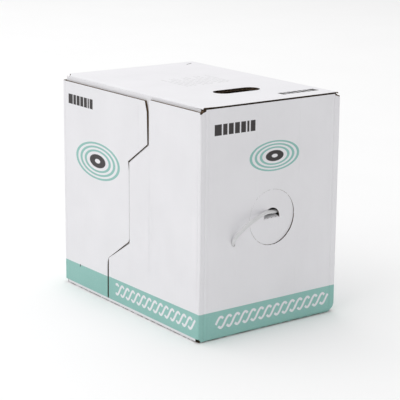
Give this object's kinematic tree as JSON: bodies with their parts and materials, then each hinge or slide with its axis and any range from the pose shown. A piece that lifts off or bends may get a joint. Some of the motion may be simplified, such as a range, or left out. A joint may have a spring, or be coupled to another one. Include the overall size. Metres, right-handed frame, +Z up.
{
  "type": "cable spool box",
  "caption": "White corrugated carton with a reel of network cable inside, drawn out through a round exit in the front; hand hole in the top.",
  "frame": {"origin": "middle of the carton's bottom", "axes": "+Z up, -Y out of the front face with the cable exit, +X to the right seen from the front"},
  "size_m": [0.268, 0.4001, 0.356],
  "materials": {
    "white_board": "matte",
    "kraft_board": "matte",
    "fibreboard": "matte",
    "zinc_steel": "satin",
    "black_plastic": "matte",
    "cable_jacket": "satin"
  },
  "bodies": {
    "carton": {"axle_cap_left": "black_plastic", "axle_cap_right": "black_plastic", "axle_tube": "zinc_steel", "back_panel": "white_board", "bottom_panel": "white_board", "cable_lead": "cable_jacket", "cable_loop": "cable_jacket", "cradle_floor": "kraft_board", "cradle_wall_left": "kraft_board", "cradle_wall_right": "kraft_board", "exit_disc": "white_board", "front_panel": "white_board", "glue_tab": "white_board", "inner_bottom_flap_left": "white_board", "inner_bottom_flap_right": "white_board", "inner_top_flap_left": "white_board", "inner_top_flap_right": "white_board", "top_panel": "white_board"},
    "reel": {"cable_winding": "cable_jacket", "reel_barrel": "kraft_board", "reel_bushing_left": "black_plastic", "reel_bushing_right": "black_plastic", "reel_flange_left": "fibreboard", "reel_flange_right": "fibreboard", "tie_rod_1": "zinc_steel", "tie_rod_2": "zinc_steel", "tie_rod_3": "zinc_steel", "tie_rod_4": "zinc_steel", "tie_rod_nut_1_left": "zinc_steel", "tie_rod_nut_1_right": "zinc_steel", "tie_rod_nut_2_left": "zinc_steel", "tie_rod_nut_2_right": "zinc_steel", "tie_rod_nut_3_left": "zinc_steel", "tie_rod_nut_3_right": "zinc_steel", "tie_rod_nut_4_left": "zinc_steel", "tie_rod_nut_4_right": "zinc_steel"},
    "exit_tab": {"exit_tab": "white_board"},
    "hand_hole_flap": {"hand_hole_flap": "white_board"},
    "outer_front_flap_left": {"outer_front_flap_left": "white_board"},
    "outer_front_flap_right": {"outer_front_flap_right": "white_board"},
    "outer_rear_flap_left": {"outer_rear_flap_left": "white_board"},
    "outer_rear_flap_right": {"outer_rear_flap_right": "white_board"}
  },
  "joints": [
    {"name": "reel_spin", "type": "hinge", "parent": "carton", "child": "reel", "pos_m": [0, 0, 0.18], "axis": [1, 0, 0], "continuous": true},
    {"name": "front_flap_left_hinge", "type": "hinge", "parent": "carton", "child": "outer_front_flap_left", "pos_m": [-0.134, -0.191, 0.178], "axis": [0, 0, 1], "range_deg": [0, 180]},
    {"name": "rear_flap_left_hinge", "type": "hinge", "parent": "carton", "child": "outer_rear_flap_left", "pos_m": [-0.134, 0.191, 0.178], "axis": [0, 0, -1], "range_deg": [0, 180]},
    {"name": "front_flap_right_hinge", "type": "hinge", "parent": "carton", "child": "outer_front_flap_right", "pos_m": [0.134, -0.191, 0.178], "axis": [0, 0, -1], "range_deg": [0, 180]},
    {"name": "rear_flap_right_hinge", "type": "hinge", "parent": "carton", "child": "outer_rear_flap_right", "pos_m": [0.134, 0.191, 0.178], "axis": [0, 0, 1], "range_deg": [0, 180]},
    {"name": "hand_hole_flap_hinge", "type": "hinge", "parent": "carton", "child": "hand_hole_flap", "pos_m": [0.00675, -0.1093, 0.352], "axis": [1, 0, 0], "range_deg": [-55, 90]},
    {"name": "exit_tab_hinge", "type": "hinge", "parent": "carton", "child": "exit_tab", "pos_m": [0.00125, -0.189, 0.173], "axis": [1, 0, 0], "range_deg": [-60, 4]}
  ]
}
